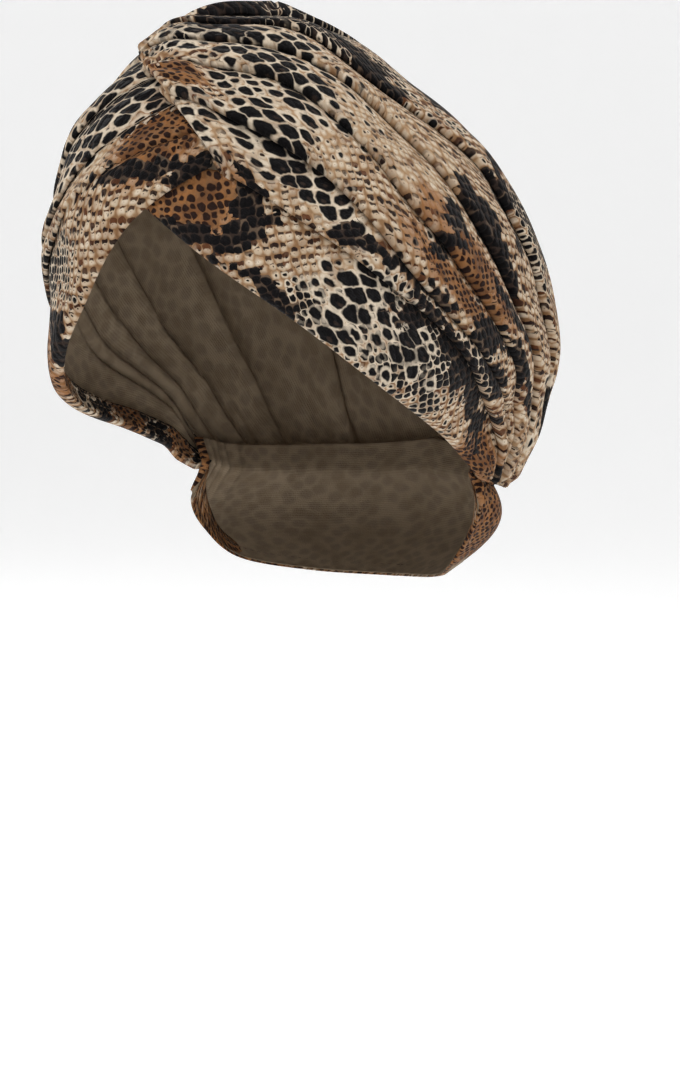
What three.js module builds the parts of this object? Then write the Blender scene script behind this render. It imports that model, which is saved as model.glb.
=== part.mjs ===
// Twisted jersey cap: two pleated wraps crossing over the forehead and a band at the nape.
// Millimetres, +Z up. The wearer faces -Y and the wearer's left is +X.
import * as THREE from "three";

// Cloth sizes
const clothWall = 1.8;
const pleatDepth = 2.8;
const creaseWidth = 3;
const layerStep = 3.1;
const lapRise = 3.6;
const gatherRise = 3.6;
const edgeRise = 5.4;
const headSeatDrop = 10;
const middleDepth = 100;
const napeCentreY = 15;
const tuckAngle = 6.5;

// Shape of the cap over its fold crests: distance from the middle of the head
// in each direction, a row per angle down from the top of the head. The crossing
// pulls the crown towards the wearer's right by the lean.
const crownRows = [
  { polar: 0, front: 93, side: 93, back: 93, lean: 8.5 },
  { polar: 15, front: 97.5, side: 90, back: 87, lean: 6.5 },
  { polar: 30, front: 103.5, side: 82.5, back: 80.5, lean: 5 },
  { polar: 45, front: 107, side: 81, back: 80, lean: 4.5 },
  { polar: 60, front: 105.5, side: 79, back: 85, lean: 2.5 },
  { polar: 75, front: 103, side: 76.5, back: 92, lean: 1 },
  { polar: 90, front: 100, side: 75.5, back: 100.5, lean: 0 },
  { polar: 105, front: 98, side: 77.5, back: 107.5, lean: 0 },
  { polar: 120, front: 96, side: 76.5, back: 109.5, lean: 0 },
  { polar: 135, front: 95, side: 79.5, back: 110.5, lean: 0 },
  { polar: 150, front: 94, side: 86.5, back: 116, lean: 0 },
];
const crownSquareness = 2.15;

// Fold lines of each wrap from the hem up to the crown: seven stops from the
// crossing to the gather behind the ear, each an azimuth from the front towards
// the wearer's left and an angle down from the top. Depths are the height of the
// fold at the crossing, half way and at the gather, as shares of pleatDepth.
const leftFolds = [
  {
    name: "hem",
    stops: [[-9, 65], [12, 79], [31, 92.5], [52, 108.5], [76, 122.5], [97, 130.5], [115, 134.5]],
    depths: [0, 0.45, 0.4],
  },
  {
    name: "hemBand",
    stops: [[15.5, 63.5], [31, 71.5], [47, 81.5], [66, 94.5], [87, 111], [107, 121.5], [122, 133.5]],
    depths: [0.5, 0.5, 1.1],
  },
  {
    name: "lowerPleat",
    stops: [[2, 50], [22, 54.5], [38, 62], [58, 81], [84, 102], [107, 117], [127, 133]],
    depths: [1, 0.9, 0.5],
  },
  {
    name: "middlePleat",
    stops: [[-7, 44], [15, 41], [39, 46], [61, 66], [84, 89], [108, 112], [132, 132]],
    depths: [0.8, 0.9, 1],
  },
  {
    name: "ridgePleat",
    stops: [[-18, 37.5], [14, 32], [50, 35.5], [79, 60], [98, 86], [118, 109], [137, 131]],
    depths: [0.8, 0.7, 1],
  },
  {
    name: "crownPleat",
    stops: [[-23, 33.5], [10, 20], [84, 34], [108, 62], [122, 88], [134, 110], [144, 129.5]],
    depths: [0.7, 0.6, 1],
  },
  {
    name: "backPleat",
    stops: [[-28, 31.5], [-20, 12], [150, 22], [146, 56], [146, 86], [151, 108], [160, 126.5]],
    depths: [0.6, 0.6, 0.9],
  },
  {
    name: "crownEdge",
    stops: [[-33, 31], [-50, 10], [194, 24], [184.5, 56], [183.5, 86], [183.5, 108], [184, 123]],
    depths: [0, 0, 0],
  },
];
const rightFolds = [
  {
    name: "hem",
    stops: [[13.4, 62.8], [-2, 72.5], [-21, 92], [-46, 111], [-76, 123.5], [-97, 130.5], [-115, 134.5]],
    depths: [0.2, 0.5, 0.4],
  },
  {
    name: "hemBand",
    stops: [[14.5, 56.5], [-9, 65], [-36, 81], [-64, 96], [-88, 112], [-107, 122], [-122, 133.5]],
    depths: [0.1, 0.6, 1],
  },
  {
    name: "lowerPleat",
    stops: [[10, 49], [-10, 58], [-37, 73], [-64, 89], [-88, 107], [-108, 118], [-127, 133]],
    depths: [0.1, 0.7, 0.9],
  },
  {
    name: "middlePleat",
    stops: [[3, 42], [-15, 49], [-40, 61], [-66, 77], [-90, 97], [-111, 114], [-132, 132]],
    depths: [0.1, 0.7, 1],
  },
  {
    name: "ridgePleat",
    stops: [[-6, 35], [-26, 40], [-52, 50], [-78, 66], [-100, 88], [-120, 109], [-138, 131]],
    depths: [0.1, 0.6, 1],
  },
  {
    name: "crownPleat",
    stops: [[-14, 30], [-44, 32], [-80, 40], [-105, 60], [-122, 84], [-136, 108], [-148, 129]],
    depths: [0.1, 0.6, 1],
  },
  {
    name: "backPleat",
    stops: [[-22, 27], [-60, 20], [-130, 30], [-145, 56], [-150, 84], [-156, 107], [-164, 126]],
    depths: [0.1, 0.4, 0.5],
  },
  {
    name: "crownEdge",
    stops: [[-30, 25], [-28, 5], [182, 22], [178, 54], [178, 84], [178, 107], [179, 123]],
    depths: [0, 0, 0],
  },
];

// Nape band behind the wearer's left ear, mirrored for the right: a row per section from
// the ear to the middle of the nape. The top edge is tucked under the crown.
const napeSections = [
  { azimuth: 114, topPolar: 129, hemX: 52.5, hemY: 25.5, hemZ: -160, bulge: 0 },
  { azimuth: 119, topPolar: 128.5, hemX: 54.5, hemY: 21.5, hemZ: -169, bulge: 0 },
  { azimuth: 126, topPolar: 128.5, hemX: 50, hemY: 22, hemZ: -178.5, bulge: 2.5 },
  { azimuth: 138, topPolar: 126.5, hemX: 40.5, hemY: 28, hemZ: -188.5, bulge: 9 },
  { azimuth: 156, topPolar: 122.5, hemX: 24, hemY: 49.5, hemZ: -194, bulge: 11 },
  { azimuth: 180, topPolar: 119, hemX: 0, hemY: 64.5, hemZ: -196, bulge: 11 },
];

const middle = new THREE.Vector3(0, 0, headSeatDrop - middleDepth);

function direction(azimuth, polar) {
  const turn = THREE.MathUtils.degToRad(azimuth);
  const tip = THREE.MathUtils.degToRad(polar);
  return new THREE.Vector3(
    Math.sin(tip) * Math.sin(turn),
    -Math.sin(tip) * Math.cos(turn),
    Math.cos(tip),
  );
}

// Catmull-Rom value through evenly spaced stops, t from 0 to 1
function splineAt(stops, t, read) {
  const last = stops.length - 1;
  const place = Math.min(Math.max(t, 0), 1) * last;
  const index = Math.min(Math.floor(place), last - 1);
  const part = place - index;
  const p1 = read(stops[index]);
  const p2 = read(stops[index + 1]);
  const p0 = index > 0 ? read(stops[index - 1]) : 2 * p1 - p2;
  const p3 = index + 2 <= last ? read(stops[index + 2]) : 2 * p2 - p1;
  return 0.5 * (2 * p1 + (p2 - p0) * part
    + (2 * p0 - 5 * p1 + 4 * p2 - p3) * part ** 2
    + (3 * p1 - p0 - 3 * p2 + p3) * part ** 3);
}

function crownAt(heading, column) {
  const tip = THREE.MathUtils.radToDeg(Math.acos(Math.min(1, Math.max(-1, heading.z))));
  const share = tip / crownRows[crownRows.length - 1].polar;
  return splineAt(crownRows, share, (row) => row[column]);
}

function crownRadius(heading) {
  const level = Math.hypot(heading.x, heading.y) || 1;
  const cosine = -heading.y / level;
  const sine = heading.x / level;
  const ends = crownAt(heading, cosine > 0 ? "front" : "back");
  const sides = crownAt(heading, "side");
  const power = crownSquareness;
  return (Math.abs(cosine / ends) ** power + Math.abs(sine / sides) ** power) ** (-1 / power);
}

// Point on the inside of the lowest cloth layer, raised by height
function overHead(heading, height) {
  const reach = crownRadius(heading) - clothWall - pleatDepth + height;
  const lean = new THREE.Vector3(-crownAt(heading, "lean"), 0, 0);
  return lean.add(middle).addScaledVector(heading, reach);
}

function ramp(value, from, to) {
  return THREE.MathUtils.smoothstep(value, Math.min(from, to), Math.max(from, to));
}

function closedSheet(outer, inner) {
  const rows = outer.length;
  const columns = outer[0].length;
  const positions = [];
  for (const side of [outer, inner]) {
    for (const row of side) {
      for (const point of row) positions.push(point.x, point.y, point.z);
    }
  }
  const out = (i, j) => i * columns + j;
  const back = (i, j) => rows * columns + i * columns + j;
  const index = [];
  const quad = (a, b, c, d) => index.push(a, b, c, a, c, d);
  for (let i = 0; i < rows - 1; i += 1) {
    for (let j = 0; j < columns - 1; j += 1) {
      quad(out(i, j), out(i, j + 1), out(i + 1, j + 1), out(i + 1, j));
      quad(back(i, j), back(i + 1, j), back(i + 1, j + 1), back(i, j + 1));
    }
  }
  for (let j = 0; j < columns - 1; j += 1) {
    quad(out(0, j), back(0, j), back(0, j + 1), out(0, j + 1));
    quad(out(rows - 1, j), out(rows - 1, j + 1), back(rows - 1, j + 1), back(rows - 1, j));
  }
  for (let i = 0; i < rows - 1; i += 1) {
    quad(out(i, 0), out(i + 1, 0), back(i + 1, 0), back(i, 0));
    quad(out(i, columns - 1), back(i, columns - 1), back(i + 1, columns - 1), out(i + 1, columns - 1));
  }
  const geometry = new THREE.BufferGeometry();
  geometry.setAttribute("position", new THREE.Float32BufferAttribute(positions, 3));
  geometry.setIndex(index);
  geometry.computeVertexNormals();
  return geometry;
}

function turnInsideOut(geometry) {
  const index = geometry.getIndex();
  for (let i = 0; i < index.count; i += 3) {
    const first = index.getX(i);
    index.setX(i, index.getX(i + 1));
    index.setX(i + 1, first);
  }
  geometry.computeVertexNormals();
  return geometry;
}

// Height of a pleat across its width: low in the crease below, high just above it,
// sloping away under the next pleat
const pleatStops = [
  { across: 0, height: 0 },
  { across: 0.22, height: 1 },
  { across: 0.5, height: 0.8 },
  { across: 0.8, height: 0.35 },
];

function foldDepth(fold, along) {
  const [front, half, gather] = fold.depths;
  return along < 0.5
    ? THREE.MathUtils.lerp(front, half, along * 2)
    : THREE.MathUtils.lerp(half, gather, along * 2 - 1);
}

function wrapSheet(folds, lift, columns) {
  const outer = [];
  const inner = [];
  const lines = folds.map((fold) => (along) => new THREE.Vector3(
    splineAt(fold.stops, along, ([turn, tip]) => direction(turn, tip).x),
    splineAt(fold.stops, along, ([turn, tip]) => direction(turn, tip).y),
    splineAt(fold.stops, along, ([turn, tip]) => direction(turn, tip).z),
  ).normalize());
  const addRow = (pleat, stop, height) => {
    const outerRow = [];
    const innerRow = [];
    for (let j = 0; j <= columns; j += 1) {
      const step = j / columns;
      const along = 0.55 * step + 0.45 * step ** 2;
      const low = lines[pleat](along);
      const high = lines[Math.min(pleat + 1, folds.length - 1)](along);
      const width = Math.max(low.angleTo(high) * 95, 1);
      const across = stop > 0 && stop < 0.5 ? Math.min(stop, creaseWidth / width) : stop;
      const heading = low.lerp(high, across).normalize();
      const deep = pleatDepth * foldDepth(folds[pleat], along) * Math.min(1, width / 9);
      const rise = lift(pleat + stop, along) + height * deep;
      innerRow.push(overHead(heading, rise));
      outerRow.push(overHead(heading, rise + clothWall));
    }
    outer.push(outerRow);
    inner.push(innerRow);
  };
  for (let pleat = 0; pleat < folds.length - 1; pleat += 1) {
    for (const stop of pleatStops) addRow(pleat, stop.across, stop.height);
  }
  addRow(folds.length - 1, 0, 0);
  return closedSheet(outer, inner);
}

// Both wraps ride over the top edge of the nape band
function gatherLift(along) {
  return gatherRise * ramp(along, 0.82, 0.92);
}

// The left wrap rides over the right one from the crossing up, and along the crown
function leftLift(across, along) {
  const overCrossing = 1 - ramp(along, 0.05, 0.13);
  const aboveHem = ramp(across, 1, 1.2);
  const atCorner = 1 - ramp(across, 1.6, 2.6);
  const crossing = (layerStep + (edgeRise - layerStep) * atCorner) * overCrossing * aboveHem;
  const crownLap = lapRise * ramp(across, 5.7, 6.2);
  return Math.max(crossing, crownLap) + gatherLift(along);
}

// The right wrap rides over the left one along its hem, only at the crossing
function rightLift(across, along) {
  const overLeft = (1 - ramp(across, 1, 1.9)) * (1 - ramp(along, 0.17, 0.3));
  return (layerStep - 0.7) * overLeft + gatherLift(along);
}

function napeBand() {
  const outer = [];
  const inner = [];
  const half = 14;
  const tuck = 0.3;
  for (const down of [0, 0.15, tuck, 0.47, 0.65, 0.83, 1]) {
    const outerRow = [];
    const innerRow = [];
    for (let j = -half; j <= half; j += 1) {
      const side = Math.sign(j) || 1;
      const t = 1 - Math.abs(j) / half;
      const at = (name) => splineAt(napeSections, t, (row) => row[name]);
      const tucked = at("topPolar") + tuckAngle * Math.min(1, down / tuck);
      const point = overHead(direction(at("azimuth"), tucked), -0.6);
      const hem = new THREE.Vector3(at("hemX"), at("hemY"), headSeatDrop + at("hemZ"));
      const outward = new THREE.Vector3(point.x, point.y - napeCentreY, 0).normalize();
      const below = Math.max(0, (down - tuck) / (1 - tuck));
      point.lerp(hem, below);
      point.addScaledVector(outward, at("bulge") * Math.sin(Math.PI * below));
      const thick = point.clone().addScaledVector(outward, clothWall);
      point.x *= side;
      thick.x *= side;
      innerRow.push(point);
      outerRow.push(thick);
    }
    outer.push(outerRow);
    inner.push(innerRow);
  }
  return closedSheet(outer, inner);
}

const cloth = new THREE.MeshStandardMaterial({ color: 0xa08c70, roughness: 0.9, metalness: 0 });

const cap = new THREE.Group();
cap.name = "twist_front_cap";

function addPiece(name, geometry) {
  const piece = new THREE.Mesh(geometry, cloth);
  piece.name = name;
  cap.add(piece);
}

addPiece("left_wrap", wrapSheet(leftFolds, leftLift, 36));
addPiece("right_wrap", turnInsideOut(wrapSheet(rightFolds, rightLift, 36)));
addPiece("nape_band", napeBand());

export default cap;
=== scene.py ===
import math

import bpy
import numpy as np
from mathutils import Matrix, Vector


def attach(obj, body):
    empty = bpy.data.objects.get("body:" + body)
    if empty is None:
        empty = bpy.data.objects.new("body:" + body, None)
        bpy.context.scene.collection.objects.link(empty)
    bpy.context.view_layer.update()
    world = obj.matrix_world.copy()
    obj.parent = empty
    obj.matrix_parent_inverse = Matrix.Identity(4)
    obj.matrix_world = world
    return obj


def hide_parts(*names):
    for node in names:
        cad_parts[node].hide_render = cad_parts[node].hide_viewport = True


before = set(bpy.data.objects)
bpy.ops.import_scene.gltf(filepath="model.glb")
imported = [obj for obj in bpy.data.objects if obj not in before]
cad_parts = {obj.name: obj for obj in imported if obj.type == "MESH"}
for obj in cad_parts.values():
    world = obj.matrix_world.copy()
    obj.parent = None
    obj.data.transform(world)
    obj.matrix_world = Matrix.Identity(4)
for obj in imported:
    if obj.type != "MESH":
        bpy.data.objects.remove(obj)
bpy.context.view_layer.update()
print("frame loaded:", ", ".join(sorted(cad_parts)))

millimetre = 0.001

# Form of the cap, in millimetres and degrees; the same numbers as the CAD
capForm = {
    "clothWall": 1.8,
    "pleatDepth": 2.8,
    "creaseWidth": 3.0,
    "layerStep": 3.1,
    "lapRise": 3.6,
    "gatherRise": 3.6,
    "edgeRise": 5.4,
    "headSeatDrop": 10.0,
    "middleDepth": 100.0,
    "squareness": 2.15,
    "napeCentreY": 15.0,
    "tuckAngle": 6.5,
}

# Cap over its fold crests: angle down from the top, distance from the middle of the
# head to the front, side and back, and how far the twist pulls it to the wearer's right
crownRows = [
    (0, 93, 93, 93, 8.5),
    (15, 97.5, 90, 87, 6.5),
    (30, 103.5, 82.5, 80.5, 5),
    (45, 107, 81, 80, 4.5),
    (60, 105.5, 79, 85, 2.5),
    (75, 103, 76.5, 92, 1),
    (90, 100, 75.5, 100.5, 0),
    (105, 98, 77.5, 107.5, 0),
    (120, 96, 76.5, 109.5, 0),
    (135, 95, 79.5, 110.5, 0),
    (150, 94, 86.5, 116, 0),
]

# Fold lines from the hem up: name, the fold's height at the crossing, half way and the
# gather, and seven (azimuth, angle from the top) stops from the crossing to the gather
leftFolds = [
    ("hem", (0, 0.45, 0.4),
     [(-9, 65), (12, 79), (31, 92.5), (52, 108.5), (76, 122.5), (97, 130.5), (115, 134.5)]),
    ("hemBand", (0.5, 0.5, 1.1),
     [(15.5, 63.5), (31, 71.5), (47, 81.5), (66, 94.5), (87, 111), (107, 121.5), (122, 133.5)]),
    ("lowerPleat", (1, 0.9, 0.5),
     [(2, 50), (22, 54.5), (38, 62), (58, 81), (84, 102), (107, 117), (127, 133)]),
    ("middlePleat", (0.8, 0.9, 1),
     [(-7, 44), (15, 41), (39, 46), (61, 66), (84, 89), (108, 112), (132, 132)]),
    ("ridgePleat", (0.8, 0.7, 1),
     [(-18, 37.5), (14, 32), (50, 35.5), (79, 60), (98, 86), (118, 109), (137, 131)]),
    ("crownPleat", (0.7, 0.6, 1),
     [(-23, 33.5), (10, 20), (84, 34), (108, 62), (122, 88), (134, 110), (144, 129.5)]),
    ("backPleat", (0.6, 0.6, 0.9),
     [(-28, 31.5), (-20, 12), (150, 22), (146, 56), (146, 86), (151, 108), (160, 126.5)]),
    ("crownEdge", (0, 0, 0),
     [(-33, 31), (-50, 10), (194, 24), (184.5, 56), (183.5, 86), (183.5, 108), (184, 123)]),
]
rightFolds = [
    ("hem", (0.2, 0.5, 0.4),
     [(13.4, 62.8), (-2, 72.5), (-21, 92), (-46, 111), (-76, 123.5), (-97, 130.5), (-115, 134.5)]),
    ("hemBand", (0.1, 0.6, 1),
     [(14.5, 56.5), (-9, 65), (-36, 81), (-64, 96), (-88, 112), (-107, 122), (-122, 133.5)]),
    ("lowerPleat", (0.1, 0.7, 0.9),
     [(10, 49), (-10, 58), (-37, 73), (-64, 89), (-88, 107), (-108, 118), (-127, 133)]),
    ("middlePleat", (0.1, 0.7, 1),
     [(3, 42), (-15, 49), (-40, 61), (-66, 77), (-90, 97), (-111, 114), (-132, 132)]),
    ("ridgePleat", (0.1, 0.6, 1),
     [(-6, 35), (-26, 40), (-52, 50), (-78, 66), (-100, 88), (-120, 109), (-138, 131)]),
    ("crownPleat", (0.1, 0.6, 1),
     [(-14, 30), (-44, 32), (-80, 40), (-105, 60), (-122, 84), (-136, 108), (-148, 129)]),
    ("backPleat", (0.1, 0.4, 0.5),
     [(-22, 27), (-60, 20), (-130, 30), (-145, 56), (-150, 84), (-156, 107), (-164, 126)]),
    ("crownEdge", (0, 0, 0),
     [(-30, 25), (-28, 5), (182, 22), (178, 54), (178, 84), (178, 107), (179, 123)]),
]

# Band behind the ear to the middle of the nape: azimuth, angle of the tucked top edge,
# then the hem's x, y and z and the bulge between them
napeSections = [
    (114, 129, 52.5, 25.5, -160, 0),
    (119, 128.5, 54.5, 21.5, -169, 0),
    (126, 128.5, 50, 22, -178.5, 2.5),
    (138, 126.5, 40.5, 28, -188.5, 9),
    (156, 122.5, 24, 49.5, -194, 11),
    (180, 119, 0, 64.5, -196, 11),
]


def ramp(value, start, end):
    share = np.clip((np.asarray(value, float) - start) / (end - start), 0, 1)
    return share * share * (3 - 2 * share)


def mix(low, high, share):
    return low + (high - low) * share


def unit(vectors):
    return vectors / np.linalg.norm(vectors, axis=-1, keepdims=True)


# Catmull-Rom values through evenly spaced stops, straight on past both ends
def splineAt(stops, t):
    stops = np.asarray(stops, float)
    last = len(stops) - 1
    padded = np.concatenate([[2 * stops[0] - stops[1]], stops, [2 * stops[-1] - stops[-2]]])
    place = np.clip(t, 0, 1) * last
    index = np.minimum(np.floor(place).astype(int), last - 1)
    part = place - index
    beyond = np.asarray(t, float) * last - place
    if stops.ndim > 1:
        part = part[..., None]
        beyond = beyond[..., None]
    p0, p1, p2, p3 = (padded[index + step] for step in range(4))
    a = p2 - p0
    b = 2 * p0 - 5 * p1 + 4 * p2 - p3
    c = 3 * p1 - p0 - 3 * p2 + p3
    slope = 0.5 * (a + 2 * b * part + 3 * c * part**2)
    return 0.5 * (2 * p1 + a * part + b * part**2 + c * part**3) + slope * beyond


def direction(azimuth, polar):
    turn = np.radians(azimuth)
    tip = np.radians(polar)
    return np.stack([np.sin(tip) * np.sin(turn), -np.sin(tip) * np.cos(turn), np.cos(tip)], -1)


def crownAt(heading, column):
    tip = np.degrees(np.arccos(np.clip(heading[..., 2], -1, 1)))
    return splineAt([row[column] for row in crownRows], tip / crownRows[-1][0])


def crownRadius(heading):
    level = np.maximum(np.hypot(heading[..., 0], heading[..., 1]), 1e-6)
    cosine = -heading[..., 1] / level
    sine = heading[..., 0] / level
    front, side, back = (crownAt(heading, column) for column in (1, 2, 3))
    ends = np.where(cosine > 0, front, back)
    power = capForm["squareness"]
    return (np.abs(cosine / ends) ** power + np.abs(sine / side) ** power) ** (-1 / power)


# Point over the head in the inner face of the lowest cloth layer, raised by height
def overHead(heading, height):
    reach = crownRadius(heading) - capForm["clothWall"] - capForm["pleatDepth"] + height
    point = heading * reach[..., None]
    point[..., 0] -= crownAt(heading, 4)
    point[..., 2] += capForm["headSeatDrop"] - capForm["middleDepth"]
    return point


def foldLine(stops, along):
    azimuth, polar = np.array(stops, float).T
    return unit(splineAt(direction(azimuth, polar), along))


def gatherLift(along):
    return capForm["gatherRise"] * ramp(along, 0.82, 0.92)


# The left wrap rides over the right one from the crossing up, and along the crown
def leftLift(across, along):
    atCorner = 1 - ramp(across, 1.6, 2.6)
    rise = mix(capForm["layerStep"], capForm["edgeRise"], atCorner)
    crossing = rise * (1 - ramp(along, 0.05, 0.13)) * ramp(across, 1, 1.2)
    return np.maximum(crossing, capForm["lapRise"] * ramp(across, 5.7, 6.2)) + gatherLift(along)


# The right wrap rides over the left one along its hem, only at the crossing
def rightLift(across, along):
    overLeft = (1 - ramp(across, 1, 1.9)) * (1 - ramp(along, 0.17, 0.3))
    return (capForm["layerStep"] - 0.7) * overLeft + gatherLift(along)


# Smooth noise over points: waves of about one length in seeded directions
def swell(points, length, seed, waves=9):
    picker = np.random.default_rng(seed)
    total = np.zeros(points.shape[:-1])
    for _ in range(waves):
        heading = unit(picker.normal(size=3))
        pace = 2 * math.pi / length * picker.uniform(0.75, 1.3)
        total += np.sin(points @ (heading * pace) + picker.uniform(0, 2 * math.pi))
    return total / math.sqrt(waves)


# Millimetres, counts and shares; slackFrom, calmUntil, measurePlace and tuckFrom are
# places along the wrap, 0 at the crossing and 1 at the gather
clothLook = {
    "wall": 1.0,
    "columns": 200,
    "crowding": 0.45,
    "foldRows": 13,
    "faceRowSpacing": 1.8,
    "fewestFaceRows": 5,
    "faceFall": 1.8,
    "crestShare": 0.22,
    "closedDepths": (1.7, 2.6),
    "foldTuck": 2.8,
    "foldOverhang": 0.7,
    "returnHeight": 0.3,
    "pleatGain": 2.0,
    "fullDepthWidth": 7.0,
    "slackFrom": 0.72,
    "gatherSlack": 0.4,
    "calmFromPleat": 3,
    "crossingCalm": 0.5,
    "calmUntil": 0.12,
    "hemAllowance": 9.0,
    "hemRaise": 0.35,
    "tuckedCloth": 5.0,
    "measurePlace": 0.35,
    "meanRadius": 95.0,
    "rollReach": 260.0,
    "rollDepth": 3.2,
    "edgeTurn": 2.2,
    "gatherTuck": 2.4,
    "tuckFrom": 0.975,
}

# Front edge of the left wrap, rolled under: along the cloth in millimetres, share of the drop
frontRoll = [(4.5, 1), (2.4, 1), (0.6, 0.97), (-0.9, 0.83), (-1.6, 0.55), (-1.3, 0.27), (-0.4, 0.08)]
rollEnd = 0.6  # where the flat cloth goes on


# Places along a wrap, closer together near the crossing, and how far each is rolled under
def alongStops(rolled):
    step = np.linspace(0, 1, clothLook["columns"])
    along = mix(step, step**2, clothLook["crowding"])
    drop = np.zeros(len(along))
    if rolled:
        shift, share = np.array(frontRoll).T / [[clothLook["rollReach"]], [1]]
        along = np.concatenate([shift, along + rollEnd / clothLook["rollReach"]])
        drop = np.concatenate([share, drop])
    return along, drop


# Value at one place along a wrap, past the columns that are rolled under
def valueAt(place, along, values):
    turned = len(along) - clothLook["columns"]
    return float(np.interp(place, along[turned:], values[turned:]))


# Across-the-fold course of the cloth where a pleat lies over the one below, as rows of
# millimetres up from the fold line and of height: an open crease, or a rolled closed fold
def foldCourse(deep, closed):
    look = clothLook
    tuck, over, low = look["foldTuck"], look["foldOverhang"], look["returnHeight"]
    roll = (deep - low) / 2
    flat = np.zeros(len(deep))
    openShape = [
        (0, 0), (0.35, 0.02), (0.7, 0.07), (1.0, 0.16), (1.3, 0.3),
        (1.6, 0.48), (1.9, 0.66), (2.25, 0.83), (2.6, 0.95), (capForm["creaseWidth"], 1),
    ]
    closedShape = [
        (0, 0), (tuck, 0), (tuck + 0.35, low / 2), (tuck, low), (0.3 - over, low),
        (-over - 0.8 * roll, low + 0.35 * roll), (-over - roll, low + roll),
        (-over - 0.65 * roll, 0.92 * deep), (0.9, 1.03 * deep), (capForm["creaseWidth"], deep),
    ]
    x = [mix(flat + o[0], flat + c[0], closed) for o, c in zip(openShape, closedShape)]
    height = [mix(o[1] * deep, flat + c[1], closed) for o, c in zip(openShape, closedShape)]
    return np.array(x), np.array(height)


# Course of the turned hem, from the cut edge inside to the face of the band
def hemCourse(deep):
    wall = capForm["clothWall"]
    lift = clothLook["hemRaise"]
    inside = clothLook["hemAllowance"]
    # millimetres up from the edge, height, share of the pleat's own height
    shape = [
        (inside, -wall, 0), (inside * 0.66, -wall, 0), (inside * 0.33, -wall, 0), (0.8, -wall, 0),
        (-0.6, 0.3 - wall, 0), (-1.05, (lift - wall) / 2, 0), (-0.6, lift - 0.3, 0.1),
        (0.5, lift, 0.4), (1.6, lift, 0.8), (capForm["creaseWidth"], lift, 1),
    ]
    flat = np.zeros(len(deep))
    return np.array([row[0] + flat for row in shape]), np.array([row[1] + row[2] * deep for row in shape])


# Folded part of pleat k and the face above it: how far up the pleat, height, the cloth's
# own place across, and the share of the fold behind, a row for each line of points
def pleatRows(k, deep, width, flatWidth, base, tuckedFrom):
    look = clothLook
    crest = np.minimum(look["crestShare"], capForm["creaseWidth"] / width)
    t = np.linspace(0, 1, look["foldRows"])
    x, height = hemCourse(deep) if k == 0 else foldCourse(deep, ramp(deep, *look["closedDepths"]))
    x = splineAt(x * crest * width / capForm["creaseWidth"], t)
    height = splineAt(height, t)
    up = x / width
    behind = 1 - ramp(t, 0, 0.5)[:, None] + 0 * up
    if k == 0:
        behind = 0 * up
        place = base + up * flatWidth * np.where(t < 0.45, -1, 1)[:, None]
    else:
        place = mix(base + up * flatWidth, tuckedFrom, behind)
        up, height, place, behind = up[1:], height[1:], place[1:], behind[1:]
    faceRows = max(look["fewestFaceRows"], round(np.percentile(width, 75) / look["faceRowSpacing"]))
    q = np.linspace(0, 1, faceRows + 1)[1:, None]
    faceUp = crest + (1 - crest) * q
    faceHeight = deep * (1 - q ** look["faceFall"])
    if k == 0:
        faceHeight = faceHeight + look["hemRaise"] * (1 - ramp(q, 0, 0.6))
    return (
        np.concatenate([up, faceUp]),
        np.concatenate([height, faceHeight]),
        np.concatenate([place, base + faceUp * flatWidth]),
        np.concatenate([behind, 0 * faceUp]),
    )


# Cloth between neighbouring fold lines: its run along at the middle of the pleat, the
# slant from one line to the next, and its width square to the folds
def clothRuns(lines, along):
    turned = len(along) - clothLook["columns"]
    tracks = [overHead(line, np.zeros(len(along))) for line in lines]
    runs = []
    for low, high in zip(tracks[:-1], tracks[1:]):
        steps = np.diff((low + high) / 2, axis=0)
        lengths = np.linalg.norm(steps, axis=1)
        lengths[:turned] *= np.sign(np.diff(along))[:turned]
        run = np.concatenate([[0], np.cumsum(lengths)])
        run = run - valueAt(clothLook["measurePlace"], along, run)
        onward = np.gradient((low + high)[turned:] / 2, axis=0)
        onward = unit(np.concatenate([np.repeat(onward[1:2], turned, axis=0), onward]))
        slant = ((high - low) * onward).sum(-1)
        apart = np.linalg.norm(high - low, axis=1)
        runs.append((run, slant, np.sqrt(np.maximum(apart**2 - slant**2, 1))))
    return runs


# Puckers: how many to a pleat, how far and over what length they wander, and their share
wrinkleLook = {
    "puckers": [(2.6, 0.25, 60, 1), (5.2, 0.3, 45, 0.6)],
    "puckerHeight": 0.75,
    "frontReach": 0.13,
    "backReach": 0.17,
    "backShare": 0.9,
    "slackHeight": 0.55,
    "slackLength": 34,
    "dragHeight": 0.3,
    "dragLength": 13,
    "dragStretch": 6,
    "dragEverywhere": 0.5,
    "hemShare": 0.35,
}


# Round crests with narrow valleys between them, about level in the mean
def gathers(turn):
    return 2 * np.abs(np.cos(turn)) ** 0.8 - 1.2


# Puckers that fan out of the crossing and into the gather, long drags and soft swells
def wrinkles(plain, across, along, clothU, clothV, seed):
    look = wrinkleLook
    front = np.exp(-np.clip(along, 0, 1) / look["frontReach"])
    back = np.exp(-np.clip(1 - along, 0, 1) / look["backReach"])
    ridges = np.zeros(across.shape)
    for number, (count, wander, length, share) in enumerate(look["puckers"], 1):
        turn = math.pi * (count * across + wander * swell(plain, length, seed + number))
        ridges += share * gathers(turn)
    stretched = np.stack([clothU / look["dragStretch"], clothV, 0 * clothU], -1)
    drag = swell(stretched, look["dragLength"], seed + 5)
    height = look["puckerHeight"] * (front + look["backShare"] * back) * ridges
    height += look["slackHeight"] * swell(plain, look["slackLength"], seed + 3)
    height += look["dragHeight"] * drag * (look["dragEverywhere"] + front + back)
    return height * mix(look["hemShare"], 1, ramp(across, 0, 0.5))


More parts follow.
